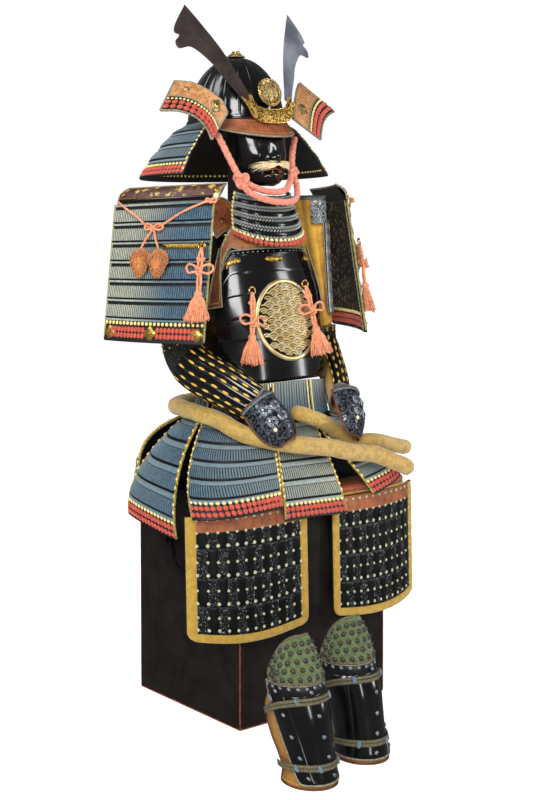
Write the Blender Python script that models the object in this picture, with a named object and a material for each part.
"""Samurai armour, seated in its hollow worn form on its lacquered storage chest.

Metres, +Z up.  The origin is the middle of the chest's footprint on the floor.
The armour faces -Y.  Its own right side is at -X and is built with SIDE = -1.
Every cloth, laced or plate piece is a curved surface worked out from short tables
of sections, given a wall by a Solidify modifier.
"""
import math

import bmesh
import bpy
import numpy as np
from mathutils import Matrix, Vector

# ---------------------------------------------------------------- driving sizes
GAP = 0.0005
CLOTH = 0.0020
LEATHER = 0.0030
PLATE = 0.0025
LACED = 0.0045
SIDES = (("right", -1.0), ("left", 1.0))

CHEST_WIDTH = 0.430
CHEST_DEPTH = 0.386
CHEST_TOP = 0.500
CHEST_BOARD = 0.012
LID_HEIGHT = 0.055
LID_BOARD = 0.008
COLLAR_BOARD = 0.006

TORSO_BASE = (0.0, 0.005, 0.745)
TORSO_LEAN = math.radians(10.7)
ROUND_POWER = 2.3
ARMHOLE_HEIGHT = 0.185
PLATE_TOP = 0.290
BACK_TOP = 0.355
BREAST_TOP = 0.352

HEAD_AXIS_Y = 0.098
BOWL_RIM_Z = 1.345
BOWL_TOP_Z = 1.500
BOWL_HALF_WIDTH = 0.110
BOWL_HALF_DEPTH = 0.120

GUARD_WIDTH = 0.257
GUARD_DROP = 0.322
GUARD_CORNER = (0.1976, -0.0784, 1.163)
GUARD_ALONG = (0.413, 0.911)
GUARD_LEAN = 0.155
GUARD_BOW = 0.016
GUARD_LAMES = 7

ARM_CLEAR = 0.0042
ARM_FLAT = 0.62
BELT_RADIUS = 0.0195


# ---------------------------------------------------------------- small helpers
def clear_scene():
    """Take every object out of the open file."""
    for old in list(bpy.data.objects):
        bpy.data.objects.remove(old, do_unlink=True)


def material(name, colour, roughness, metallic=0.0):
    """One Principled material with a hex colour."""
    made = bpy.data.materials.get(name) or bpy.data.materials.new(name)
    made.use_nodes = True
    shader = made.node_tree.nodes["Principled BSDF"]
    channels = [int(colour[i:i + 2], 16) / 255 for i in (1, 3, 5)]
    linear = [c / 12.92 if c <= 0.04045 else ((c + 0.055) / 1.055) ** 2.4 for c in channels]
    shader.inputs["Base Color"].default_value = (*linear, 1.0)
    shader.inputs["Roughness"].default_value = roughness
    shader.inputs["Metallic"].default_value = metallic
    return made


def column(table, index):
    """One named column of a table of rows."""
    return np.array([row[index] for row in table])


def smoothstep(value):
    """0 to 1 with soft ends."""
    held = np.clip(value, 0.0, 1.0)
    return held * held * (3 - 2 * held)


def mesh_object(name, points, faces, look):
    """A smooth-shaded mesh object from points and face tuples."""
    mesh = bpy.data.meshes.new(name)
    mesh.from_pydata([tuple(p) for p in points], [], faces)
    mesh.validate()
    made = bpy.data.objects.new(name, mesh)
    mesh.materials.append(look)
    mesh.shade_smooth()
    bpy.context.scene.collection.objects.link(made)
    return made


def shell(name, grid, wall, look, away_from, ring=False):
    """A wall behind a grid of surface points (rows, columns, 3).

    away_from is a point on the hollow side: the faces turn away from it and the wall
    is added towards it.  ring joins the last column to the first.
    """
    rows, columns = grid.shape[:2]
    across = columns if ring else columns - 1
    faces = []
    for i in range(rows - 1):
        for j in range(across):
            k = (j + 1) % columns
            faces.append((i * columns + j, i * columns + k, (i + 1) * columns + k, (i + 1) * columns + j))
    flat = grid.reshape(-1, 3)
    total = 0.0
    for a, b, c, d in faces:
        normal = np.cross(flat[c] - flat[a], flat[d] - flat[b])
        total += float(normal @ (flat[a] - np.asarray(away_from)))
    if total < 0:
        faces = [face[::-1] for face in faces]
    made = mesh_object(name, flat, faces, look)
    thick = made.modifiers.new("wall", "SOLIDIFY")
    thick.thickness = wall
    thick.offset = -1.0
    thick.use_even_offset = False
    return made


def box(name, low, high, look, bevel=0.0):
    """An upright box from its lowest to its highest corner, its edges eased."""
    mesh = bpy.data.meshes.new(name)
    form = bmesh.new()
    middle = (Vector(low) + Vector(high)) / 2
    size = Vector(high) - Vector(low)
    bmesh.ops.create_cube(form, size=1.0)
    bmesh.ops.scale(form, vec=size, verts=form.verts)
    bmesh.ops.translate(form, vec=middle, verts=form.verts)
    form.to_mesh(mesh)
    form.free()
    made = bpy.data.objects.new(name, mesh)
    mesh.materials.append(look)
    bpy.context.scene.collection.objects.link(made)
    if bevel:
        ease = made.modifiers.new("ease", "BEVEL")
        ease.width = bevel
        ease.segments = 2
    return made


def combine(base, tool, operation):
    """Cut or join with an exact Boolean; the tool is kept hidden."""
    step = base.modifiers.new(operation.lower(), "BOOLEAN")
    step.operation = operation
    step.solver = "EXACT"
    step.object = tool
    tool.hide_render = True
    tool.display_type = "WIRE"


def smooth_route(points, pieces):
    """Catmull-Rom curve through the points, in even parameter steps."""
    pts = np.array(points, float)
    ends = np.vstack([2 * pts[0] - pts[1], pts, 2 * pts[-1] - pts[-2]])
    places = np.linspace(0, len(pts) - 1, pieces)
    out = []
    for place in places:
        i = min(int(place), len(pts) - 2)
        t = place - i
        p0, p1, p2, p3 = ends[i:i + 4]
        out.append(0.5 * (2 * p1 + (p2 - p0) * t + (2 * p0 - 5 * p1 + 4 * p2 - p3) * t * t
                          + (3 * p1 - p0 - 3 * p2 + p3) * t ** 3))
    return np.array(out)


def cord(name, points, radius, look, pieces=24, sides=2):
    """A round cord: a curve with a bevel and filled caps, then made a welded mesh."""
    curve = bpy.data.curves.new(name, "CURVE")
    curve.dimensions = "3D"
    curve.bevel_depth = radius
    curve.bevel_resolution = sides
    curve.use_fill_caps = True
    route = smooth_route(points, pieces)
    spline = curve.splines.new("POLY")
    spline.points.add(len(route) - 1)
    for slot, place in zip(spline.points, route):
        slot.co = (*place, 1.0)
    drawn = bpy.data.objects.new(name, curve)
    mesh = bpy.data.meshes.new_from_object(drawn)
    bpy.data.objects.remove(drawn)
    form = bmesh.new()
    form.from_mesh(mesh)
    bmesh.ops.remove_doubles(form, verts=form.verts, dist=0.00001)
    bmesh.ops.recalc_face_normals(form, faces=form.faces)
    form.to_mesh(mesh)
    form.free()
    mesh.materials.clear()
    mesh.materials.append(look)
    made = bpy.data.objects.new(name, mesh)
    bpy.context.scene.collection.objects.link(made)
    return made


def turned(name, profile, steps, look, place=Matrix.Identity(4)):
    """A solid turned about +Z from rows of (radius, height), its ends closed."""
    mesh = bpy.data.meshes.new(name)
    form = bmesh.new()
    rings = []
    for radius, height in profile:
        ring = []
        for k in range(steps):
            angle = 2 * math.pi * k / steps
            ring.append(form.verts.new((radius * math.cos(angle), radius * math.sin(angle), height)))
        rings.append(ring)
    for low, high in zip(rings, rings[1:]):
        for k in range(steps):
            n = (k + 1) % steps
            form.faces.new((low[k], low[n], high[n], high[k]))
    form.faces.new(rings[0][::-1])
    form.faces.new(rings[-1])
    bmesh.ops.transform(form, matrix=place, verts=form.verts)
    bmesh.ops.recalc_face_normals(form, faces=form.faces)
    form.to_mesh(mesh)
    form.free()
    mesh.materials.append(look)
    mesh.shade_smooth()
    made = bpy.data.objects.new(name, mesh)
    bpy.context.scene.collection.objects.link(made)
    return made


def flat_plate(name, outline, thickness, look, place=Matrix.Identity(4)):
    """A flat plate extruded along +Z from an outline in the XY plane."""
    mesh = bpy.data.meshes.new(name)
    form = bmesh.new()
    low = [form.verts.new((x, y, 0.0)) for x, y in outline]
    base = form.faces.new(low)
    grown = bmesh.ops.extrude_face_region(form, geom=[base])
    lifted = [v for v in grown["geom"] if isinstance(v, bmesh.types.BMVert)]
    bmesh.ops.translate(form, vec=(0, 0, thickness), verts=lifted)
    bmesh.ops.transform(form, matrix=place, verts=form.verts)
    bmesh.ops.recalc_face_normals(form, faces=form.faces)
    bmesh.ops.triangulate(form, faces=[f for f in form.faces if len(f.verts) > 4])
    form.to_mesh(mesh)
    form.free()
    mesh.materials.append(look)
    made = bpy.data.objects.new(name, mesh)
    bpy.context.scene.collection.objects.link(made)
    return made


def frame_matrix(origin, along_x, along_y, along_z):
    """The matrix that lays local X, Y and Z along the three given directions."""
    turn = Matrix((along_x, along_y, along_z)).transposed().to_4x4()
    return Matrix.Translation(origin) @ turn


# ---------------------------------------------------------------- looks
def looks():
    """Every material of the armour, by a plain name."""
    return {
        "wood": material("chest_lacquer", "#2c1f1b", 0.35),
        "stand": material("black_wood", "#1d1a18", 0.6),
        "iron": material("black_iron", "#26262a", 0.45, 0.8),
        "lacquer": material("black_lacquer", "#101012", 0.2),
        "lacing": material("blue_lacing", "#51708c", 0.85),
        "mail": material("black_mail", "#1c1c1f", 0.6, 0.5),
        "leather": material("printed_leather", "#a8562c", 0.6),
        "gilt": material("gilt_metal", "#c79a45", 0.35, 1.0),
        "horn": material("dark_steel", "#4a4240", 0.3, 0.9),
        "salmon": material("salmon_silk", "#de8a6c", 0.85),
        "cloth": material("mustard_cloth", "#c9932f", 0.9),
        "hair": material("cream_hair", "#d8c8a0", 0.9),
        "brocade": material("gold_brocade", "#d8bd86", 0.8),
        "green": material("green_pads", "#3f7458", 0.9),
        "tan": material("tan_leather", "#c9822f", 0.65),
    }


# ---------------------------------------------------------------- chest and stand
def build_chest(look):
    """Open box with a thinner collar at its mouth, and the cap that drops over the collar."""
    outer = (CHEST_WIDTH / 2, CHEST_DEPTH / 2)
    seam = CHEST_TOP - LID_HEIGHT
    body = box("chest_body", (-outer[0], -outer[1], 0.0), (*outer, seam - GAP), look["wood"])
    collar_x = outer[0] - LID_BOARD - GAP
    collar_y = outer[1] - LID_BOARD - GAP
    collar = box("chest_collar", (-collar_x, -collar_y, seam - 0.02),
                 (collar_x, collar_y, CHEST_TOP - LID_BOARD - GAP), look["wood"])
    combine(body, collar, "UNION")
    inner_x = collar_x - COLLAR_BOARD
    inner_y = collar_y - COLLAR_BOARD
    hollow = box("chest_hollow", (-inner_x, -inner_y, CHEST_BOARD), (inner_x, inner_y, 1.0), look["wood"])
    combine(body, hollow, "DIFFERENCE")
    lid = box("chest_lid", (-outer[0], -outer[1], seam), (*outer, CHEST_TOP), look["wood"])
    under = box("lid_hollow", (-collar_x - GAP, -collar_y - GAP, 0.0),
                (collar_x + GAP, collar_y + GAP, CHEST_TOP - LID_BOARD), look["wood"])
    combine(lid, under, "DIFFERENCE")


HANDLE_Z = 0.386
HANDLE_SPAN = 0.110
HANDLE_DROP = 0.064
HANDLE_ROD = 0.0042
HANDLE_OUT = 0.013
EYE_WIDE = 0.012
EYE_HALF = 0.010
PIN_CLEAR = 0.0001


def build_handles(look):
    """Iron bails on the chest's ends.  Each swings on pins in two eyes, along Y."""
    wall_x = CHEST_WIDTH / 2
    body = bpy.data.objects["chest_body"]
    half = HANDLE_SPAN / 2
    for name, side in SIDES:
        pivot = side * (wall_x + HANDLE_OUT)
        inner = side * (wall_x - 0.002)
        outer = side * (wall_x + HANDLE_OUT + EYE_HALF)
        for end in (-1.0, 1.0):
            eye_y = end * (half + EYE_WIDE / 2)
            low = (min(inner, outer), eye_y - EYE_WIDE / 2, HANDLE_Z - EYE_HALF)
            high = (max(inner, outer), eye_y + EYE_WIDE / 2, HANDLE_Z + EYE_HALF)
            combine(body, box(f"eye_{name}_{int(end)}", low, high, look["iron"]), "UNION")
            bore = ((HANDLE_ROD + PIN_CLEAR, -EYE_WIDE), (HANDLE_ROD + PIN_CLEAR, EYE_WIDE))
            turn = frame_matrix(Vector((pivot, eye_y, HANDLE_Z)), Vector((1, 0, 0)),
                                Vector((0, 0, 1)), Vector((0, -1, 0)))
            combine(body, turned(f"bore_{name}_{int(end)}", bore, 24, look["iron"], turn), "DIFFERENCE")
        tip = half + EYE_WIDE * 0.85
        arm = [(0, tip, 0), (0, half, 0), (0, half - 0.006, -0.001), (0, half - 0.012, -0.016),
               (0, 0.032, -HANDLE_DROP * 0.88)]
        route = [(0, -y, z) for _x, y, z in arm] + [(0, 0, -HANDLE_DROP)] + arm[::-1]
        bail = cord(f"chest_handle_{name}", route, HANDLE_ROD, look["iron"], pieces=31)
        bail.location = (pivot, 0.0, HANDLE_Z)


POST_Y = 0.080
POST_HALF = 0.022


def build_stand(look):
    """A wooden post on a foot board, a bar under the shoulder straps and a block under the bowl."""
    foot_low = (-0.130, -0.060, CHEST_TOP + GAP)
    foot = box("inner_stand", foot_low, (0.130, 0.160, CHEST_TOP + 0.018), look["stand"])
    post = box("post", (-POST_HALF, POST_Y - POST_HALF, CHEST_TOP + 0.004),
               (POST_HALF, POST_Y + POST_HALF, 1.445), look["stand"])
    combine(foot, post, "UNION")
    bar = box("shoulder_bar", (-0.118, POST_Y - 0.018, 1.095), (0.118, POST_Y + 0.018, 1.125), look["stand"])
    combine(foot, bar, "UNION")
    rounded = ((0.050, 1.435), (0.060, 1.448), (0.052, 1.466), (0.030, 1.478), (0.012, 1.483))
    block = turned("head_block", rounded, 16, look["stand"], Matrix.Translation((0, HEAD_AXIS_Y, 0)))
    combine(foot, block, "UNION")


# ---------------------------------------------------------------- cuirass
TORSO_SECTIONS = (
    # height  half_width  half_depth
    (-0.014, 0.152, 0.134),
    (0.060, 0.155, 0.138),
    (0.130, 0.160, 0.138),
    (0.200, 0.161, 0.131),
    (0.290, 0.146, 0.116),
    (0.370, 0.126, 0.104),
)


def torso_axes():
    """Unit vectors of the leaning trunk: up along it, and forwards out of it."""
    lean = TORSO_LEAN
    return np.array([0, math.sin(lean), math.cos(lean)]), np.array([0, -math.cos(lean), math.sin(lean)])


def torso_point(angle, height, out=0.0):
    """A point on the trunk; angle 0 is the front and +90 degrees the armour's left."""
    up, forward = torso_axes()
    half_width = np.interp(height, column(TORSO_SECTIONS, 0), column(TORSO_SECTIONS, 1)) + out
    half_depth = np.interp(height, column(TORSO_SECTIONS, 0), column(TORSO_SECTIONS, 2)) + out
    power = 2 / ROUND_POWER
    x = half_width * np.sign(math.sin(angle)) * abs(math.sin(angle)) ** power
    f = half_depth * np.sign(math.cos(angle)) * abs(math.cos(angle)) ** power
    return np.array(TORSO_BASE) + height * up + np.array([x, 0, 0]) + f * forward


def plate_top(angle):
    """Height of the plates' top edge: level in front, cut down at the armhole, high behind."""
    turn = abs(math.degrees(angle))
    front = PLATE_TOP + (ARMHOLE_HEIGHT - PLATE_TOP) * smoothstep((turn - 44) / 30)
    return float(front + (BACK_TOP - ARMHOLE_HEIGHT) * smoothstep((turn - 106) / 34))


def torso_grid(first, last, low, high, rows, columns, out=0.0):
    """Grid of trunk points between two angles; low and high are functions of the angle."""
    grid = np.zeros((rows, columns, 3))
    for j, turn in enumerate(np.linspace(first, last, columns)):
        angle = math.radians(turn)
        for i, height in enumerate(np.linspace(low(angle), high(angle), rows)):
            grid[i, j] = torso_point(angle, height, out)
    return grid


STRAP_ACROSS = (
    # aside  rise    across a strap, from the neck to its outer edge
    (-0.036, 0.010),
    (-0.005, 0.007),
    (0.018, -0.001),
    (0.034, -0.012),
)


def build_cuirass(look):
    """Two lacquered shells hinged at the side, the leather breast board and two shoulder straps."""
    inside = torso_point(0.0, 0.15) + np.array([0, 0.13, 0])

    def bottom(_angle):
        return TORSO_SECTIONS[0][0]

    front = torso_grid(-89.6, 89.6, bottom, plate_top, 6, 17)
    shell("cuirass_front", front, PLATE, look["lacquer"], inside)
    back = torso_grid(90.4, 269.6, bottom, lambda a: plate_top(math.pi * 2 - a if a > math.pi else a), 5, 15)
    shell("cuirass_back", back, PLATE, look["lacquer"], inside)

    def board_low(angle):
        turn = abs(math.degrees(angle))
        return plate_top(angle) + 0.0012 + 0.009 * float(smoothstep((turn - 34) / 14))

    def board_high(angle):
        turn = abs(math.degrees(angle))
        return BREAST_TOP - 0.085 * float(smoothstep((turn - 40) / 30))

    board = torso_grid(-62, 62, board_low, board_high, 4, 13)
    shell("breast_board", board, LEATHER, look["leather"], inside)
    for name, side in SIDES:
        route = smooth_route([(0.094, 0.006, 1.088), (0.096, 0.032, 1.138), (0.100, 0.075, 1.158),
                              (0.100, 0.120, 1.146), (0.096, 0.160, 1.098)], 9)
        grid = np.zeros((len(STRAP_ACROSS), 9, 3))
        for j, (x, y, z) in enumerate(route):
            for i, (aside, rise) in enumerate(STRAP_ACROSS):
                grid[i, j] = (side * (x + aside), y, z + rise)
        shell(f"shoulder_strap_{name}", grid, 0.005, look["leather"], (side * 0.096, 0.08, 0.9))


# ---------------------------------------------------------------- helmet and mask
def oval(angle, half_width, half_depth):
    """Plan of a ring about the head's axis; angle 0 is the front."""
    return np.array([half_width * math.sin(angle), HEAD_AXIS_Y - half_depth * math.cos(angle), 0.0])


PEAK_REACH = 64
NECK_SECTIONS = (
    # radius_side  radius_back  height   the head and foot of each lame, from the bowl's rim down
    (0.118, 0.127, 1.340),
    (0.150, 0.152, 1.318),
    (0.152, 0.154, 1.321),
    (0.181, 0.172, 1.287),
    (0.183, 0.174, 1.290),
    (0.211, 0.190, 1.254),
    (0.212, 0.192, 1.257),
    (0.237, 0.208, 1.217),
)
NECK_FRONT = 66
TURNBACK_CORNERS = (
    # x       y       z       inner foot, inner head, outer foot, outer head
    (0.1560, -0.0150, 1.3085),
    (0.1090, -0.0130, 1.3540),
    (0.2595, 0.0390, 1.3670),
    (0.1860, 0.0780, 1.4360),
)
TURNBACK_BULGE = (0.0, -0.006, 0.016)


def build_helmet(look):
    """Ribbed bowl, its peak, crown fitting, neck guard of four lames and the leather turn-backs."""
    inside = (0, HEAD_AXIS_Y, BOWL_RIM_Z)
    steps = 24
    rows = 7
    grid = np.zeros((rows, steps, 3))
    hole = 0.10
    for i in range(rows):
        rise = hole + (math.pi / 2 - hole) * (1 - i / (rows - 1))
        spread = math.sin(rise)
        level = math.cos(rise)
        for j in range(steps):
            plan = oval(2 * math.pi * j / steps, BOWL_HALF_WIDTH * spread, BOWL_HALF_DEPTH * spread)
            grid[i, j] = plan + np.array([0, 0, BOWL_RIM_Z + (BOWL_TOP_Z - BOWL_RIM_Z) * level])
    shell("helmet_bowl", grid, PLATE, look["lacquer"], inside, ring=True)

    stepped = ((0.020, 0.0), (0.022, 0.003), (0.016, 0.006), (0.013, 0.012), (0.011, 0.014))
    crown = Matrix.Translation((0, HEAD_AXIS_Y, BOWL_TOP_Z + 0.001))
    turned("crown_fitting", stepped, 16, look["gilt"], crown)

    peak = np.zeros((4, 13, 3))
    for j, turn in enumerate(np.linspace(-PEAK_REACH, PEAK_REACH, 13)):
        angle = math.radians(turn)
        for i, part in enumerate(np.linspace(0, 1, 4)):
            plan = oval(angle, 0.1145 + 0.014 * part, 0.1245 + 0.028 * part)
            drop = 0.043 * part + 0.006 * part * (1 - part)
            peak[i, j] = plan + np.array([0, 0, 1.353 - drop + 0.020 * part * (turn / PEAK_REACH) ** 2])
    shell("helmet_peak", peak, PLATE, look["leather"], (0, HEAD_AXIS_Y + 0.02, 1.30))

    neck = np.zeros((len(NECK_SECTIONS), 19, 3))
    for i, (radius_side, radius_back, height) in enumerate(NECK_SECTIONS):
        for j, turn in enumerate(np.linspace(NECK_FRONT, 360 - NECK_FRONT, 19)):
            angle = math.radians(turn)
            plan = oval(angle, radius_side, radius_back)
            neck[i, j] = plan + np.array([0, 0, height + 0.010 * math.cos(angle)])
    shell("neck_guard", neck, PLATE, look["lacing"], (0, HEAD_AXIS_Y, 1.18))

    corners = np.array(TURNBACK_CORNERS)
    for name, side in SIDES:
        flap = np.zeros((5, 8, 3))
        for i, up in enumerate(np.linspace(0, 1, 5)):
            for j, along in enumerate(np.linspace(0, 1, 8)):
                low = corners[0] + (corners[2] - corners[0]) * along
                high = corners[1] + (corners[3] - corners[1]) * along
                bulge = np.array(TURNBACK_BULGE) * math.sin(math.pi * along)
                flap[i, j] = (low + (high - low) * up + bulge) * (side, 1, 1)
        shell(f"turnback_{name}", flap, LEATHER, look["leather"], (side * 0.14, 0.15, 1.30))


HORN_OUTLINE = (
    # out     along    in the blade's own plane, from the middle of its root
    (-0.0130, -0.012),
    (0.0130, -0.012),
    (0.0150, 0.020),
    (0.0235, 0.070),
    (0.0275, 0.105),
    (0.0400, 0.142),
    (0.0530, 0.161),
    (0.0780, 0.168),
    (0.0745, 0.190),
    (0.0600, 0.203),
    (0.0500, 0.205),
    (0.0490, 0.222),
    (0.0320, 0.241),
    (0.0030, 0.256),
    (-0.0075, 0.185),
    (-0.0155, 0.105),
)
HORN_FOOT = (0.0640, -0.0190, 1.4010)
HORN_ALONG = (0.3405, 0.4347, 0.8338)
HORN_ACROSS = (0.9082, 0.0777, -0.4113)
CREST_BASE_OUTLINE = (
    # x       up      half of the plate, from the middle of its foot outwards
    (0.000, 0.000),
    (0.030, 0.001),
    (0.056, 0.012),
    (0.068, 0.034),
    (0.084, 0.060),
    (0.064, 0.051),
    (0.058, 0.064),
    (0.046, 0.036),
    (0.000, 0.030),
)


def build_crest(look):
    """The gilt crest base on the peak, its disc, and the two horns of dark steel."""
    root = Vector((0.0, -0.0440, 1.3395))
    tilt = math.radians(-14)
    normal = Vector((0, -math.cos(tilt), -math.sin(tilt)))
    upward = Vector((0, -math.sin(tilt), math.cos(tilt)))
    half = list(CREST_BASE_OUTLINE)
    outline = half + [(-x, up) for x, up in half[-2:0:-1]]
    place = frame_matrix(root, Vector((1, 0, 0)), upward, -normal)
    flat_plate("crest_base", outline, 0.0025, look["gilt"], place)
    disc_place = frame_matrix(root + upward * 0.074 + normal * 0.0035, Vector((1, 0, 0)), upward, -normal)
    turned("crest_disc", ((0.033, 0.0), (0.034, 0.0012), (0.032, 0.003)), 24, look["gilt"], disc_place)
    for name, side in SIDES:
        foot = Vector(HORN_FOOT)
        along = Vector(HORN_ALONG)
        across = Vector(HORN_ACROSS)
        across = (across - along * across.dot(along)).normalized()
        facing = across.cross(along)
        for axis in (foot, along, across, facing):
            axis.x *= side
        blade = frame_matrix(foot, across, along, facing)
        flat_plate(f"horn_{name}", HORN_OUTLINE, 0.002, look["horn"], blade)


MASK_ROWS = (
    # height  half_width  reach   how far the face stands before its sides
    (1.196, 0.036, 0.044),
    (1.204, 0.050, 0.058),
    (1.222, 0.060, 0.061),
    (1.246, 0.066, 0.060),
    (1.270, 0.068, 0.060),
    (1.294, 0.069, 0.058),
    (1.312, 0.069, 0.052),
)
MASK_SIDE_Y = 0.014
NOSE = (0.0, 1.264, 0.020, 0.012, 0.018)
THROAT_ROWS = (
    # height  half_width  side_y  reach  dip     dip lowers the middle of each row
    (1.184, 0.076, 0.004, 0.050, 0.012),
    (1.164, 0.083, 0.001, 0.052, 0.016),
    (1.145, 0.089, -0.003, 0.056, 0.020),
    (1.126, 0.093, -0.008, 0.059, 0.024),
    (1.107, 0.096, -0.014, 0.060, 0.028),
    (1.088, 0.098, -0.020, 0.060, 0.032),
)
CORD_RADIUS = 0.0078
HELMET_KNOTS = (
    # name       centre                      radius
    ("jaw_knot", (-0.1035, -0.0540, 1.2080), 0.0150),
    ("cheek_knot", (0.0710, -0.0310, 1.2280), 0.0120),
)
HELMET_CORD = (
    # round the chin, from one side of the helmet to the other
    (-0.124, 0.006, 1.312), (-0.125, -0.012, 1.292), (-0.119, -0.034, 1.255), (-0.104, -0.052, 1.214),
    (-0.080, -0.061, 1.196), (-0.050, -0.071, 1.184), (-0.015, -0.074, 1.181), (0.018, -0.066, 1.186),
    (0.046, -0.048, 1.202), (0.066, -0.032, 1.228), (0.078, -0.018, 1.256), (0.094, -0.002, 1.284),
    (0.108, 0.008, 1.310),
)
HELMET_CORD_LOOP = (
    # its slack end, from the knot round under the chin
    (-0.104, -0.054, 1.208), (-0.094, -0.067, 1.184), (-0.066, -0.078, 1.168), (-0.026, -0.085, 1.159),
    (0.016, -0.080, 1.158), (0.050, -0.062, 1.163), (0.074, -0.042, 1.176), (0.080, -0.032, 1.200),
    (0.070, -0.030, 1.226),
)


def build_mask(look):
    """Lacquered half mask with a nose, its moustache, the throat guard and the tied helmet cord."""
    columns = 17
    face = np.zeros((len(MASK_ROWS), columns, 3))
    nose_x, nose_z, nose_out, nose_wide, nose_tall = NOSE
    for i, (height, half_width, reach) in enumerate(MASK_ROWS):
        for j, turn in enumerate(np.linspace(-92, 92, columns)):
            angle = math.radians(turn)
            x = half_width * math.sin(angle)
            near = ((x - nose_x) / nose_wide) ** 2 + ((height - nose_z) / nose_tall) ** 2
            bump = nose_out * math.exp(-near)
            face[i, j] = (x, MASK_SIDE_Y - reach * math.cos(angle) - bump, height)
    shell("mask", face, CLOTH, look["lacquer"], (0, 0.05, 1.25))

    cord("moustache", [(-0.044, -0.038, 1.238), (-0.026, -0.0515, 1.243), (0.0, -0.0605, 1.241),
                       (0.026, -0.0515, 1.243), (0.044, -0.038, 1.238)], 0.0050, look["hair"], pieces=11)

    throat = np.zeros((len(THROAT_ROWS), 15, 3))
    for i, (height, half_width, side_y, reach, dip) in enumerate(THROAT_ROWS):
        for j, turn in enumerate(np.linspace(-88, 88, 15)):
            angle = math.radians(turn)
            throat[i, j] = (half_width * math.sin(angle), side_y - reach * math.cos(angle),
                            height - dip * math.cos(angle))
    shell("throat_guard", throat, 0.003, look["lacing"], (0, 0.06, 1.15))

    tied = cord("helmet_cord", HELMET_CORD, CORD_RADIUS, look["salmon"], pieces=26, sides=2)
    combine(tied, cord("helmet_cord_loop", HELMET_CORD_LOOP, CORD_RADIUS, look["salmon"], pieces=17), "UNION")
    for name, place, radius in HELMET_KNOTS:
        ball = [(radius * math.sin(a), -radius * math.cos(a)) for a in np.linspace(0.3, math.pi - 0.3, 5)]
        combine(tied, turned(name, ball, 10, look["salmon"], Matrix.Translation(place)), "UNION")


# ---------------------------------------------------------------- shoulder guards and arms
def guard_frame(side):
    """Corner and directions of a shoulder guard: back along it, out of it, and down it."""
    corner = np.array([side * GUARD_CORNER[0], GUARD_CORNER[1], GUARD_CORNER[2]])
    along = np.array([side * GUARD_ALONG[0], GUARD_ALONG[1], 0.0])
    out = np.array([side * GUARD_ALONG[1], -GUARD_ALONG[0], 0.0])
    down = np.array([0, 0, -1.0]) + GUARD_LEAN * out
    return corner, along, out, down / np.linalg.norm(down)


def guard_point(side, across, drop, out=0.0):
    """A point of the guard's outer face: across 0 (front) to 1 (back), drop in metres."""
    corner, along, outward, down = guard_frame(side)
    bow = GUARD_BOW * (1 - (2 * across - 1) ** 2)
    slope = -0.012 * across * (1 - drop / GUARD_DROP)
    point = corner + along * GUARD_WIDTH * across + down * drop + outward * (bow + out)
    return point + np.array([0, 0, slope])


def build_shoulder_guards(look):
    """Each guard: a curved metal-edged board, seven laced lames, cord with bow, and a tassel."""
    for name, side in SIDES:
        along, down = guard_frame(side)[1::2]
        hollow = guard_point(side, 0.5, 0.15, -0.3)
        pitch = GUARD_DROP / GUARD_LAMES
        rows = []
        for k in range(GUARD_LAMES):
            rows += [(k * pitch + 0.0005, 0.0), ((k + 1) * pitch - 0.0005, 0.0035)]
        grid = np.array([[guard_point(side, u, drop, step) for u in np.linspace(0, 1, 8)]
                         for drop, step in rows])
        shell(f"shoulder_guard_{name}", grid, LACED, look["lacing"], hollow)
        board = np.zeros((len(BOARD_ROWS), 8, 3))
        for i, (rise, inward, front, back) in enumerate(BOARD_ROWS):
            for j, u in enumerate(np.linspace(front, back, 8)):
                board[i, j] = guard_point(side, u, 0.0, -inward) + np.array([0, 0, rise])
        shell(f"shoulder_board_{name}", board, LEATHER, look["leather"], hollow)

        route = [guard_point(side, u, drop, 0.0125) for u, drop in GUARD_CORD]
        hung = cord(f"guard_cord_{name}", route, 0.0032, look["salmon"], pieces=15)
        for label, u, drop in POMPOMS:
            knot = Vector(guard_point(side, *GUARD_CORD[2], 0.0125))
            end = Vector(guard_point(side, u, drop, 0.020))
            string = cord(f"{label}_string_{name}", [knot, (knot + end) / 2, end], 0.0026, look["salmon"], 5)
            combine(hung, string, "UNION")
            ball = [(0.0165 * math.sin(a), -0.0165 * math.cos(a)) for a in np.linspace(0.3, math.pi - 0.3, 5)]
            pompom = turned(f"{label}_{name}", ball, 10, look["salmon"], Matrix.Translation(end))
            combine(hung, pompom, "UNION")
        place = frame_matrix(Vector(guard_point(side, 0.09, 0.105, 0.0225)), Vector(along),
                             Vector(along).cross(Vector(down)) * -1, Vector(down))
        turned(f"guard_tassel_{name}", TASSEL_PROFILE, 10, look["salmon"], place)


BOARD_ROWS = (
    # rise   inward  front   back    rows from the guard's head up to the board's inner edge
    (0.0012, -0.0020, -0.040, 0.970),
    (0.0170, 0.0020, -0.045, 0.965),
    (0.0290, 0.0120, -0.050, 0.945),
    (0.0370, 0.0270, -0.055, 0.915),
)
GUARD_CORD = (
    # across drop    a swag from the board's back end to its front end
    (0.930, 0.004),
    (0.720, 0.032),
    (0.520, 0.058),
    (0.240, 0.022),
    (-0.020, -0.004),
)
POMPOMS = (
    # name      across drop
    ("pompom_back", 0.655, 0.138),
    ("pompom_front", 0.475, 0.142),
)
TASSEL_PROFILE = (
    # radius  drop    ring, cord, bow, neck and skirt of a tassel
    (0.0040, 0.000),
    (0.0070, 0.006),
    (0.0045, 0.016),
    (0.0045, 0.046),
    (0.0140, 0.058),
    (0.0140, 0.076),
    (0.0050, 0.086),
    (0.0050, 0.096),
    (0.0100, 0.102),
    (0.0100, 0.112),
    (0.0145, 0.126),
    (0.0170, 0.168),
    (0.0140, 0.171),
)

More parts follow.
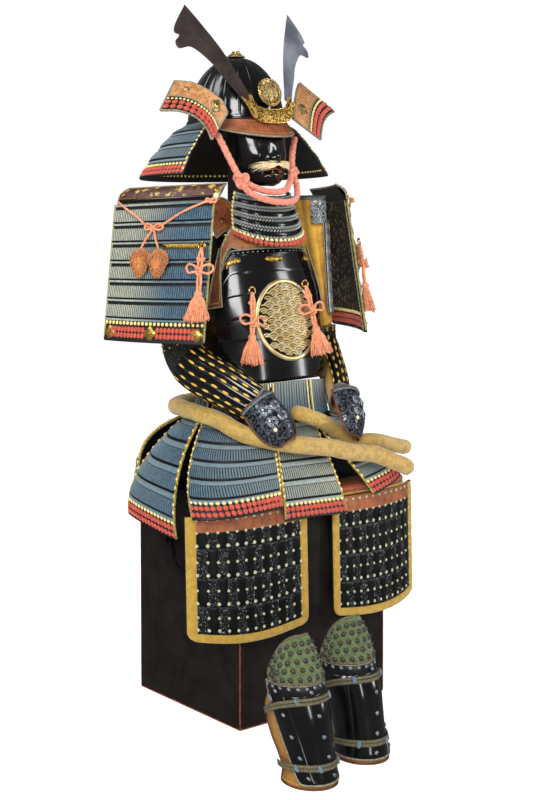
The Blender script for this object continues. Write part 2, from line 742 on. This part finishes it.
ARM_ROUTE = (
    # x      y       z      radius    from the shoulder to the wrist
    (0.182, 0.050, 1.168, 0.058),
    (0.192, 0.052, 1.070, 0.055),
    (0.202, 0.050, 0.970, 0.050),
    (0.209, 0.044, 0.880, 0.046),
    (0.210, 0.027, 0.816, 0.045),
    (0.196, -0.018, 0.776, 0.044),
    (0.163, -0.086, 0.740, 0.041),
    (0.126, -0.144, 0.704, 0.037),
)
WRIST_SHIFT = {-1.0: (0.0, 0.0, 0.0), 1.0: (-0.013, -0.004, -0.009)}


def arm_section(part, side):
    """Centre, radius and two cross directions of the sleeve at a part (0 to 1) of its length."""
    table = np.array(ARM_ROUTE)
    route = smooth_route(table[:, :3], 57)
    place = part * 56
    i = min(int(place), 55)
    centre = route[i] + (route[i + 1] - route[i]) * (place - i)
    centre = centre + np.array(WRIST_SHIFT[side]) * float(smoothstep((part - 0.55) / 0.45))
    ahead = route[min(i + 2, 56)] - route[max(i - 1, 0)]
    ahead /= np.linalg.norm(ahead)
    radius = np.interp(part, np.linspace(0, 1, len(table)), table[:, 3])
    outer = np.array([1.0, 0.0, 0.25])
    outer -= ahead * (outer @ ahead)
    outer /= np.linalg.norm(outer)
    other = np.cross(ahead, outer)
    flip = np.array([side, 1, 1])
    return centre * flip, radius, outer * flip * ARM_FLAT, other * flip


def arm_grid(side, first, last, turn_from, turn_to, rows, columns, out):
    """Grid on the sleeve's surface; turn 0 is the arm's outer side."""
    grid = np.zeros((rows, columns, 3))
    for i, part in enumerate(np.linspace(first, last, rows)):
        centre, radius, outer, other = arm_section(part, side)
        for j, turn in enumerate(np.linspace(turn_from, turn_to, columns)):
            angle = math.radians(turn)
            spoke = outer * math.cos(angle) + other * math.sin(angle)
            grid[i, j] = centre + spoke * (radius + out)
    return grid


def build_arms(look):
    """Each sleeve: a mustard cloth tube, splinted guards on arm and forearm, and a hand guard."""
    for name, side in SIDES:
        tube = arm_grid(side, 0.0, 1.0, 0, 360 * 11 / 12, 13, 12, 0.0)
        middle = arm_section(0.5, side)[0]
        shell(f"sleeve_{name}", tube, CLOTH, look["cloth"], middle, ring=True)
        upper = arm_grid(side, 0.05, 0.50, -82, 82, 7, 9, ARM_CLEAR + PLATE)
        shell(f"upper_arm_guard_{name}", upper, PLATE, look["lacquer"], arm_section(0.3, side)[0])
        lower = arm_grid(side, 0.56, 0.97, -100, 100, 7, 11, ARM_CLEAR + PLATE)
        shell(f"forearm_guard_{name}", lower, PLATE, look["lacquer"], arm_section(0.8, side)[0])
        build_hand_guard(name, look)


HAND_ROWS = (
    # along  half_width  rise     sections from the wrist to the finger tips
    (0.000, 0.0440, 0.0430),
    (0.020, 0.0460, 0.0405),
    (0.046, 0.0470, 0.0370),
    (0.073, 0.0440, 0.0300),
    (0.094, 0.0330, 0.0200),
    (0.103, 0.0200, 0.0100),
)
HAND_FRAMES = (
    # side   wrist x  y        z        ahead x  y      z       upper x  y      z
    ("right", -0.1265, -0.1480, 0.7020, 0.30, -0.62, -0.72, -0.30, -0.62, 0.58),
    ("left", 0.1085, -0.1605, 0.6998, -0.15, -0.56, -0.72, 0.44, -0.50, 0.52),
)


def build_hand_guard(name, look):
    """A lacquered plate shaped over the back of the hand, open below."""
    row = next(entry for entry in HAND_FRAMES if entry[0] == name)
    wrist = np.array(row[1:4])
    ahead = np.array(row[4:7])
    ahead /= np.linalg.norm(ahead)
    upper = np.array(row[7:10])
    upper -= ahead * (upper @ ahead)
    upper /= np.linalg.norm(upper)
    across = np.cross(ahead, upper)
    grid = np.zeros((len(HAND_ROWS), 11, 3))
    for i, (reach, half_width, rise) in enumerate(HAND_ROWS):
        for j, turn in enumerate(np.linspace(-90, 90, 11)):
            angle = math.radians(turn)
            grid[i, j] = (wrist + ahead * reach + across * half_width * math.sin(angle)
                          + upper * rise * math.cos(angle))
    shell(f"hand_guard_{name}", grid, CLOTH, look["iron"], wrist + ahead * 0.05 - upper * 0.05)


# ---------------------------------------------------------------- skirt, belt and tassels
LACING_ROWS = (
    # height  tilt    half_width  half_depth   from the cuirass's edge down to the first lame
    (0.7270, 0.0230, 0.1480, 0.1290),
    (0.6900, 0.0120, 0.1520, 0.1340),
    (0.6640, 0.0040, 0.1600, 0.1390),
)
SKIRT_ROWS = (
    # height  step    the head of the skirt, then each lame's foot and the next one's head
    (0.656, 0.000),
    (0.618, 0.003),
    (0.616, 0.000),
    (0.578, 0.003),
    (0.576, 0.000),
    (0.538, 0.003),
    (0.536, 0.000),
    (0.498, 0.003),
    (0.496, 0.000),
    (0.456, 0.003),
)
WAIST_WIDTH = 0.178
WAIST_DEPTH = 0.141
WAIST_POWER = 2.3
SKIRT_CENTRE_Y = 0.004
SKIRT_PANELS = (
    # name         top_from top_to hem_from hem_to lift_from lift_to width depth power belly
    ("front", -28, 16, -26.5, 15.0, 0.004, -0.002, 0.336, 0.236, 7.0, 1.15),
    ("front_right", -85, -30, -61.5, -28.5, 0.024, 0.034, 0.332, 0.236, 7.0, 1.15),
    ("side_right", -130, -89, -110, -74, -0.014, -0.040, 0.306, 0.236, 3.2, 1.75),
    ("back_right", -179, -132, -179, -121, 0.0, 0.0, 0.238, 0.214, 9.0, 3.5),
    ("front_left", 18, 85, 32, 57, 0.028, 0.060, 0.305, 0.236, 4.2, 1.3),
    ("side_left", 89, 130, 74, 110, -0.040, -0.014, 0.306, 0.236, 3.2, 1.75),
    ("back_left", 132, 179, 121, 179, 0.0, 0.0, 0.238, 0.214, 9.0, 3.5),
)
# Angles are in degrees from the front, + on the armour's left.  Lift raises the hem's two
# ends.  Width, depth and power are the hem's superellipse.  Belly bows the panel outwards.


def ring_point(angle, half_width, half_depth, power):
    """A point of a superellipse about the origin at a true polar angle, 0 at the front."""
    sine, cosine = math.sin(angle), math.cos(angle)
    reach = (abs(sine / half_width) ** power + abs(cosine / half_depth) ** power) ** (-1 / power)
    return np.array([reach * sine, SKIRT_CENTRE_Y - reach * cosine, 0.0])


def skirt_grid(panel, columns):
    """Surface of one panel: its lacing, then its lames spreading from the waist to the hem."""
    top_from, top_to, hem_from, hem_to, lift_from, lift_to, width, depth, hem_power, belly = panel[1:]
    rows = []
    for height, tilt, half_width, half_depth in LACING_ROWS:
        line = []
        for angle in np.radians(np.linspace(top_from, top_to, columns)):
            point = ring_point(angle, half_width, half_depth, WAIST_POWER)
            line.append(point + np.array([0, 0, height + tilt * math.cos(angle)]))
        rows.append(line)
    for height, step in SKIRT_ROWS:
        drop = (SKIRT_ROWS[0][0] - height) / (SKIRT_ROWS[0][0] - SKIRT_ROWS[-1][0])
        spread = 1 - (1 - drop) ** belly
        half_width = WAIST_WIDTH + (width - WAIST_WIDTH) * spread + step
        half_depth = WAIST_DEPTH + (depth - WAIST_DEPTH) * spread + step
        power = WAIST_POWER + (hem_power - WAIST_POWER) * spread
        line = []
        for across in np.linspace(0, 1, columns):
            top = top_from + (top_to - top_from) * across
            hem = hem_from + (hem_to - hem_from) * across
            angle = math.radians(top + (hem - top) * drop)
            lift = (lift_from + (lift_to - lift_from) * across) * float(smoothstep(drop))
            point = ring_point(angle, half_width, half_depth, power)
            line.append(point + np.array([0, 0, height + lift]))
        rows.append(line)
    return np.array(rows)


def build_skirt(look):
    """Seven panels, each hung from the cuirass by its lacing and spread over the chest's edge."""
    for panel in SKIRT_PANELS:
        shell(f"skirt_{panel[0]}", skirt_grid(panel, 8), 0.003, look["lacing"], (0, 0, 0.55))


BELT_ROUTE = (
    (0.176, -0.030, 0.684), (0.187, 0.030, 0.682), (0.176, 0.100, 0.678), (0.120, 0.156, 0.676),
    (0.020, 0.178, 0.676), (-0.090, 0.168, 0.677), (-0.160, 0.122, 0.679), (-0.187, 0.060, 0.682),
    (-0.192, -0.010, 0.678), (-0.185, -0.080, 0.669), (-0.164, -0.138, 0.645), (-0.110, -0.182, 0.628),
    (-0.045, -0.206, 0.615), (0.020, -0.218, 0.605), (0.080, -0.230, 0.590), (0.140, -0.240, 0.580),
    (0.196, -0.256, 0.556), (0.232, -0.268, 0.538),
)
BELT_END_ROUTE = (
    (-0.050, -0.177, 0.688), (-0.020, -0.178, 0.678), (0.030, -0.176, 0.660), (0.080, -0.172, 0.633),
    (0.130, -0.1875, 0.6045), (0.180, -0.200, 0.602), (0.230, -0.206, 0.588), (0.278, -0.210, 0.576),
)


def build_belt(look):
    """Padded brocade roll: once round the waist and across the lap, and its upper end."""
    cord("belt_roll", BELT_ROUTE, BELT_RADIUS, look["brocade"], pieces=44, sides=2)
    cord("belt_end", BELT_END_ROUTE, BELT_RADIUS * 0.88, look["brocade"], pieces=16, sides=2)


CUIRASS_TASSELS = (
    # name     ring turn height foot turn height  in degrees round the trunk and metres up it
    ("right", -30.0, 0.192, -39.0, 0.030),
    ("left", 14.0, 0.200, 20.0, 0.032),
)
TASSEL_RING_OUT = 0.015
TASSEL_FOOT_OUT = 0.024


def build_cuirass_tassels(look):
    """A tassel at each side of the breast, hung from a ring on the plates."""
    for name, ring_turn, ring_height, foot_turn, foot_height in CUIRASS_TASSELS:
        ring = Vector(torso_point(math.radians(ring_turn), ring_height, TASSEL_RING_OUT))
        foot = Vector(torso_point(math.radians(foot_turn), foot_height, TASSEL_FOOT_OUT))
        down = (foot - ring).normalized()
        sideways = Vector((0, 1, 0)).cross(down).normalized()
        place = frame_matrix(ring, sideways, down.cross(sideways), down)
        turned(f"cuirass_tassel_{name}", TASSEL_PROFILE, 10, look["salmon"], place)


# ---------------------------------------------------------------- thigh apron and shin guards
APRON_ROWS = (
    # y      z       over the lid and down in front of it
    (-0.1200, 0.5048),
    (-0.1700, 0.5052),
    (-0.1930, 0.5054),
    (-0.1985, 0.4998),
    (-0.1985, 0.4862),
)
APRON_HALF = 0.290
THIGH_SWEEP = 0.054
THIGH_INNER = 0.038
THIGH_OUTER = 0.335
THIGH_TOP = 0.484
THIGH_DROP = 0.268


def build_thighs(look):
    """The apron laid over the chest's front edge, and the two plated panels that hang from it."""
    apron = np.zeros((len(APRON_ROWS), 13, 3))
    for i, (y, z) in enumerate(APRON_ROWS):
        for j, across in enumerate(np.linspace(-1, 1, 13)):
            x = APRON_HALF * across
            part = max(0.0, (abs(x) - THIGH_INNER) / (THIGH_OUTER - THIGH_INNER))
            apron[i, j] = (x, y + THIGH_SWEEP * max(0.0, part ** 4 - 0.13), z)
    shell("thigh_apron", apron, CLOTH, look["leather"], (0, 0.0, 0.40))
    for name, side in SIDES:
        panel = np.zeros((6, 8, 3))
        for i, down in enumerate(np.linspace(0, 1, 6)):
            for j, across in enumerate(np.linspace(0, 1, 8)):
                x = THIGH_INNER + (THIGH_OUTER - THIGH_INNER) * across
                y = -0.2085 + THIGH_SWEEP * across ** 4 - 0.008 * down
                belly = 0.016 * math.sin(math.pi * across) * down
                z = THIGH_TOP - THIGH_DROP * down - belly
                panel[i, j] = (side * x, y, z)
        shell(f"thigh_panel_{name}", panel, LACED, look["mail"], (side * 0.18, 0.1, 0.3))


SHIN_PLACES = (
    # side   x       y      the middle of each guard's foot on the floor
    (-1.0, -0.2700, -0.4760),
    (1.0, -0.0980, -0.4420),
)
SHIN_ROWS = (
    # height  half_width  half_depth  back    sections from the foot up to the knee
    (0.000, 0.052, 0.060, -0.016),
    (0.040, 0.045, 0.055, -0.010),
    (0.090, 0.046, 0.057, 0.002),
    (0.145, 0.051, 0.060, 0.016),
    (0.205, 0.050, 0.055, 0.036),
    (0.250, 0.045, 0.049, 0.048),
    (0.290, 0.028, 0.041, 0.058),
)


def shin_grid(side, x, y, low, high, reach_low, reach_high, rows, columns, out, arch=0.0):
    """Grid round the front of a shin guard between two heights; each reach is a half angle."""
    table = np.array(SHIN_ROWS)
    grid = np.zeros((rows, columns, 3))
    for i, part in enumerate(np.linspace(0, 1, rows)):
        height = low + (high - low) * part
        reach = reach_low + (reach_high - reach_low) * part
        half_width, half_depth, back = (np.interp(height, table[:, 0], table[:, k]) for k in (1, 2, 3))
        for j, turn in enumerate(np.linspace(-reach, reach, columns)):
            angle = math.radians(turn)
            lift = -arch * (1 - math.cos(angle)) * part
            grid[i, j] = (x + (half_width + out) * math.sin(angle) * side,
                          y + back - (half_depth + out) * math.cos(angle), height + lift)
    return grid


def build_shins(look):
    """Each shin guard stands on the floor: leather lining, splinted plate and padded knee."""
    for (name, side), (_side, x, y) in zip(SIDES, SHIN_PLACES):
        axis = (x, y + 0.03, 0.12)
        lining = shin_grid(side, x, y, 0.0, 0.285, 128, 128, 8, 13, 0.0, 0.03)
        shell(f"shin_lining_{name}", lining, LEATHER, look["tan"], axis)
        plate = shin_grid(side, x, y, 0.010, 0.196, 68, 98, 6, 11, 0.0052)
        shell(f"shin_plate_{name}", plate, PLATE, look["lacquer"], axis)
        knee = shin_grid(side, x, y, 0.2005, 0.288, 92, 92, 5, 13, 0.0085, 0.03)
        shell(f"knee_guard_{name}", knee, 0.005, look["green"], axis)


def main():
    clear_scene()
    look = looks()
    build_chest(look)
    build_handles(look)
    build_stand(look)
    build_cuirass(look)
    build_helmet(look)
    build_crest(look)
    build_mask(look)
    build_shoulder_guards(look)
    build_arms(look)
    build_skirt(look)
    build_belt(look)
    build_cuirass_tassels(look)
    build_thighs(look)
    build_shins(look)


main()
